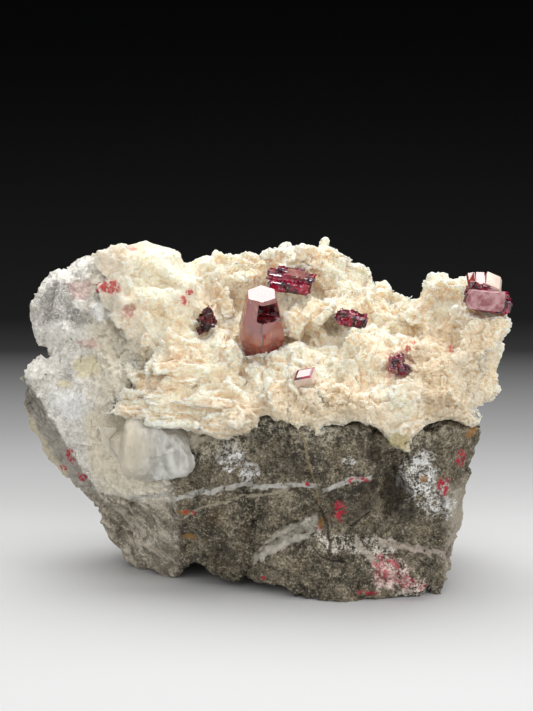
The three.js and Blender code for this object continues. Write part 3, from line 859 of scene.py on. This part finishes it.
def stepped_surface(turned, steps):
    """The surface cut back by a random depth in each block of a grid that lies with the crystal."""
    form = Form("stepped_surface")
    own = form.node("ShaderNodeVectorRotate", {"rotation_type": "EULER_XYZ", "invert": True}, {
        "Vector": form.place, "Rotation": tuple(math.radians(c) for c in turned)})
    deep = 0.0
    for step, depth in steps:
        wander = form.noise(step[0], output="Color", place=own)
        bent = form.vector("ADD", own, form.vector("SCALE", wander, Scale=step[2] * 0.8 * MM))
        block = form.vector("FLOOR", form.vector("DIVIDE", bent, tuple(c * MM for c in step)))
        deep = form.node("ShaderNodeTexWhiteNoise", {}, {"Vector": block}) * -depth + deep
    form.move(deep)
    form.keep_rim(3, 0.05)
    return form.made()


def clouded(name, deep, bright, size, low=0.38, high=0.62, **constants):
    """A finish whose body colour goes from deep to bright in clouds of a size."""
    finish = Finish(name, **constants)
    finish.body = finish.mix(deep, bright, finish.fade(finish.noise(size, detail=3), low, high))
    finish.set(Base_Color=finish.body)
    return finish


def bevelled(piece):
    modify(piece, "BEVEL", width=EDGE_WEAR, segments=2, limit_method="ANGLE", angle_limit=math.radians(15))
    return piece


def pick_face(piece, measure):
    """Selects the one face of a piece with the greatest measure."""
    with edit_mode(piece, "DESELECT"):
        bpy.ops.mesh.select_mode(type="FACE")
    max(piece.data.polygons, key=measure).select = True


def cut_crystal(name, at, size, turned, cuts=()):
    """A flat-faced crystal: a block with planes cut off it, each given by its distance from the middle in mm
    and its normal, then turned in degrees and put at its place in mm."""
    bpy.ops.mesh.primitive_cube_add(size=1)
    piece = bpy.context.object
    piece.name = name
    with edit_mode(piece, "SELECT"):
        bpy.ops.transform.resize(value=tuple(c * MM for c in size))
        for distance, normal in cuts:
            away = Vector(normal).normalized()
            bpy.ops.mesh.select_all(action="SELECT")
            bpy.ops.mesh.bisect(plane_co=away * distance * MM, plane_no=away, use_fill=True, clear_outer=True)
    put(piece, Vector(at) * MM, turned)
    return bevelled(piece)


# The main crystal: a six-sided spindle that widens from its top facet down to where the crust holds it.
MAIN_TOP = (-0.7, 8.8)  # mm right and up as seen, of the middle of the top facet
MAIN_RADII = (3.6 * MM, 2.2 * MM)
MAIN_LONG = 6.6 * MM
MAIN_FOOT = 3.2 * MM  # in the crust
MAIN_TAPER = (0.8, 0.85, 1)  # of the foot, towards its lower end
MAIN_LEAN = 24  # degrees towards the viewer, so that the top facet mirrors the light above
MAIN_TURN = 3  # degrees round its own axis
NOTCH = ((0.55, 6.0), (4.4, 3.0, 2.7), (18, 8, -4))  # place as seen, size in mm, turn in degrees
NOTCH_SHIFT = (0.5, 0.3, 0)  # mm, from that place to its middle

cinnabar_main = copied("cinnabar_main", "cinnabar_main_form")
bpy.context.view_layer.update()
facet = seen(cinnabar_main, *MAIN_TOP)
bpy.data.objects.remove(cinnabar_main)
bpy.ops.mesh.primitive_cone_add(vertices=6, radius1=MAIN_RADII[0], radius2=MAIN_RADII[1], depth=MAIN_LONG)
main_crystal = bpy.context.object
main_crystal.name = "cinnabar_main_crystal"
pick_face(main_crystal, lambda face: -face.center.z)
with edit_mode(main_crystal):
    bpy.ops.mesh.extrude_region_move(TRANSFORM_OT_translate={"value": (0, 0, -MAIN_FOOT)})
    bpy.ops.transform.resize(value=MAIN_TAPER)
leaned = Matrix.Rotation(math.radians(MAIN_LEAN), 4, "X") @ Matrix.Rotation(math.radians(MAIN_TURN), 4, "Z")
main_crystal.data.transform(Matrix.Translation(facet) @ leaned @ Matrix.Translation((0, 0, -MAIN_LONG / 2)))
bpy.context.view_layer.update()

shine = clouded("cinnabar", rgb(138, 40, 32), rgb(158, 62, 48), 2.2,
                Roughness=0.13, IOR=CINNABAR_INDEX, Transmission_Weight=0.1)
flaws = shine.noise(0.5, detail=3, place=shine.vector("MULTIPLY", shine.place, (1, 1, 0.35)))
shine.paint(rgb(186, 110, 90), shine.fade(flaws, 0.6, 0.7) * 0.6)
crack = traced_on(main_crystal, ((-0.5, 4.6), (-0.75, 3.4), (-0.45, 2.2), (-0.8, 0.9)))
crack = shine.seam(crack, 0.14, (flaws - 0.5) * 0.3)
shine.paint(rgb(84, 0, 0), crack)
shine.set(Base_Color=shine.body, Roughness=crack * 0.2 + 0.13)

dusky = clouded("cinnabar_dusky", rgb(44, 1, 8), rgb(122, 4, 20), 0.8,
                Roughness=0.2, IOR=1.65, Transmission_Weight=0.2)
dusky.set(Normal=dusky.bump(dusky.chips(0.7, 0.9, 0.2)))

place, size, turned = NOTCH
bitten = seen(main_crystal, *place)
bpy.ops.mesh.primitive_cube_add(size=1)
cutter = bpy.context.object
cutter.data.materials.append(dusky.material)
put(cutter, bitten + Vector(NOTCH_SHIFT) * MM, turned, Vector(size) * MM)
main_crystal.data.materials.append(shine.material)
modify(main_crystal, "BOOLEAN", object=cutter, material_mode="TRANSFER")
bpy.data.objects.remove(cutter)
bevelled(main_crystal)

# The small crystal: its one bright face has a red border, and the prism under it is pale.
SMALL_BORDER = 0.32 * MM
SMALL_REST = 0.05 * MM  # a face farther than this from the middle of the bright one is another

small_crystal = copied("cinnabar_small", "cinnabar_small_crystal")
with edit_mode(small_crystal, "SELECT"):
    bpy.ops.mesh.dissolve_limited(angle_limit=math.radians(2))
pick_face(small_crystal, lambda face: face.normal.z)
with edit_mode(small_crystal):
    bpy.ops.mesh.inset(thickness=SMALL_BORDER, depth=SMALL_BORDER / 2)
bright = [face.center.copy() for face in small_crystal.data.polygons if face.select][0]
pale = Finish("cinnabar_pale", Roughness=0.25, IOR=1.9)
pale.set(Base_Color=pale.mix(rgb(212, 182, 166), rgb(238, 224, 210), pale.noise(0.8, detail=3)))

# The edge crystal: three tablets side by side make its roof, and a broad pink-brown face its front.
rosy = clouded("cinnabar_rosy", rgb(150, 88, 94), rgb(202, 156, 158), 1.0, 0.35, 0.65, Roughness=0.2, IOR=1.9)
edge_faces = [
    cut_crystal("roof_red", (28.9, -3.4, 42.6), (1.2, 2.6, 1.4), (42, -8, 0), ((0.75, (-1, 0, 1)),)),
    cut_crystal("roof_white", (30.1, -3.3, 42.65), (1.3, 3.0, 1.5), (24, 2, 0)),
    cut_crystal("roof_pale", (31.8, -3.2, 42.2), (2.5, 3.0, 1.8), (26, 24, 4), ((1.2, (1, 0, 1)),)),
    cut_crystal("edge_front", (30.7, -5.8, 40.6), (5.4, 1.9, 2.7), (-5, 4, -6), (
        (2.6, (-1, -0.2, 0.4)), (2.5, (-1, 0, -0.8)), (2.6, (1, 0, -0.7)))),
]
select_only(edge_faces[0])
for part, finish in zip(edge_faces, (shine, shine, pale, rosy)):
    part.data.materials.append(finish.material)
    part.select_set(True)
bpy.ops.object.join()
edge_faces[0].name = "cinnabar_edge_faces"

# The tabular group's brownish upper face.
waxy = clouded("cinnabar_waxy", rgb(132, 74, 68), rgb(172, 116, 104), 1.2, 0.35, 0.65, Roughness=0.3, IOR=1.5)
tabular_top = cut_crystal("cinnabar_tabular_top", (4.2, 1.7, 42.6), (2.6, 1.4, 1.0), (44, 9, 0))
tabular_top.data.materials.append(waxy.material)

# The stepped crystals, and what all the crystals share.
crimson = clouded("cinnabar_stepped", rgb(60, 2, 20), rgb(184, 10, 60), 1.1,
                  Roughness=0.16, IOR=STEPPED_INDEX, Transmission_Weight=0.25)
# painted highlight: pale lilac on the edges of the steps that stand out
crimson.paint(rgb(196, 156, 186), crimson.fade(crimson.rim(), 0.6, 1.8) * 0.7)
crimson.set(Base_Color=crimson.body)
crystals = [("cinnabar_main", main_crystal), ("cinnabar_small", small_crystal),
            ("cinnabar_edge", edge_faces[0]), ("cinnabar_tabular", tabular_top)]
for node, (turned, steps) in STEPPED.items():
    grains = copied(node, f"{node}_crystal")
    modify(grains, "REMESH", mode="VOXEL", voxel_size=CRYSTAL_VOXEL)
    modify(grains, "NODES", node_group=stepped_surface(turned, steps))
    grains.data.materials.append(dusky.material if node == "cinnabar_left" else crimson.material)
    crystals.append((node, grains))
for finish in (shine, crimson, pale):
    small_crystal.data.materials.append(finish.material)
for node, crystal in crystals:
    select_only(crystal)
    bpy.ops.object.shade_smooth_by_angle(angle=CRYSTAL_CREASE)
    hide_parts(node)
    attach(crystal, "root")
for face in small_crystal.data.polygons:
    if (face.center - bright).length > SMALL_REST:
        face.material_index = 1 if face.normal.z > 0.5 else 2


# Floor: a plain pale sheet under the specimen that falls away into the dark behind it.
# Light: one big soft box overhead and a little behind, one in front, and a small one at each side.
FLOOR_SIZE = 4000 * MM
# how far behind the middle of the specimen in mm, and how pale the sheet is there, from 0 to 255
FLOOR_TONES = ((-60, 203), (0, 197), (24, 190), (79, 134), (116, 90), (140, 34), (168, 4), (230, 2))
FLOOR_LENGTH = 300  # mm, over which it changes

bpy.ops.mesh.primitive_plane_add(size=FLOOR_SIZE)
floor = bpy.context.object
floor.name = "floor"
paper = Finish("floor", Roughness=0.7, Specular_IOR_Level=0.1)
behind = (paper.parts()[1] - FLOOR_TONES[0][0]) / FLOOR_LENGTH
stops = [((at - FLOOR_TONES[0][0]) / FLOOR_LENGTH, rgb(tone, tone, tone)) for at, tone in FLOOR_TONES]
paper.set(Base_Color=paper.node("ShaderNodeValToRGB", {"stops": stops}, {"Fac": behind}))
floor.data.materials.append(paper.material)


def soft_box(name, at, wide, deep, watts):
    """A rectangular light that faces the specimen, with its place and sides in metres."""
    place = Vector(at)
    turned = (LOOKED_AT - place).to_track_quat("-Z", "Y").to_euler()
    bpy.ops.object.light_add(type="AREA", location=place, rotation=turned)
    light = bpy.context.object
    light.name = name
    light.data.shape = "RECTANGLE"
    light.data.size = wide
    light.data.size_y = deep
    light.data.energy = watts


soft_box("soft_box_above", (0, 0.16, 0.42), 0.54, 0.42, 3.15)
soft_box("soft_box_front", (-0.1, -0.9, 0.6), 1.4, 0.8, 5.25)
soft_box("soft_box_left", (-0.42, -0.34, 0.24), 0.3, 0.3, 0.4)
soft_box("soft_box_right", (0.42, -0.3, 0.3), 0.3, 0.3, 1.5)

DARK_ROOM = (0.02, 0.022, 0.021, 1)
world = bpy.data.worlds.new("dark_room")
world.use_nodes = True
world.node_tree.nodes["Background"].inputs["Color"].default_value = DARK_ROOM
bpy.context.scene.world = world
bpy.context.scene.view_settings.view_transform = "Standard"
